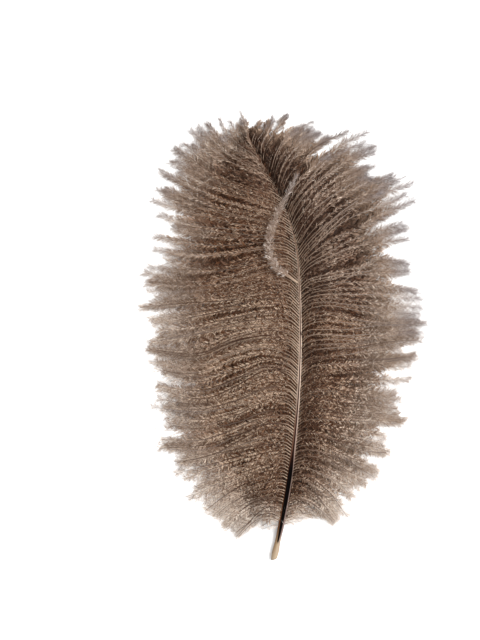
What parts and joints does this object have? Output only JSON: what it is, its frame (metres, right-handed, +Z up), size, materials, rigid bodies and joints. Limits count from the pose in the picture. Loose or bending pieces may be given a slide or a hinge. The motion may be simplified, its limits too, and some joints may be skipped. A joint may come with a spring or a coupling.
{
  "type": "ostrich feather",
  "caption": "Soft brown-grey ostrich body feather lying flat, with a grooved tapering shaft, a short bare quill and a broad drooping vane of fluffy locks.",
  "frame": {"origin": "on the table, under the middle of the feather's outline", "axes": "+Y along the feather from the cut quill to the tip, +X to the right of the shaft seen from above, +Z up, away from the table"},
  "size_m": [0.1299, 0.2033, 0.014],
  "materials": {
    "plume": "matte"
  },
  "bodies": {
    "root": {"feather": "plume"}
  },
  "joints": []
}
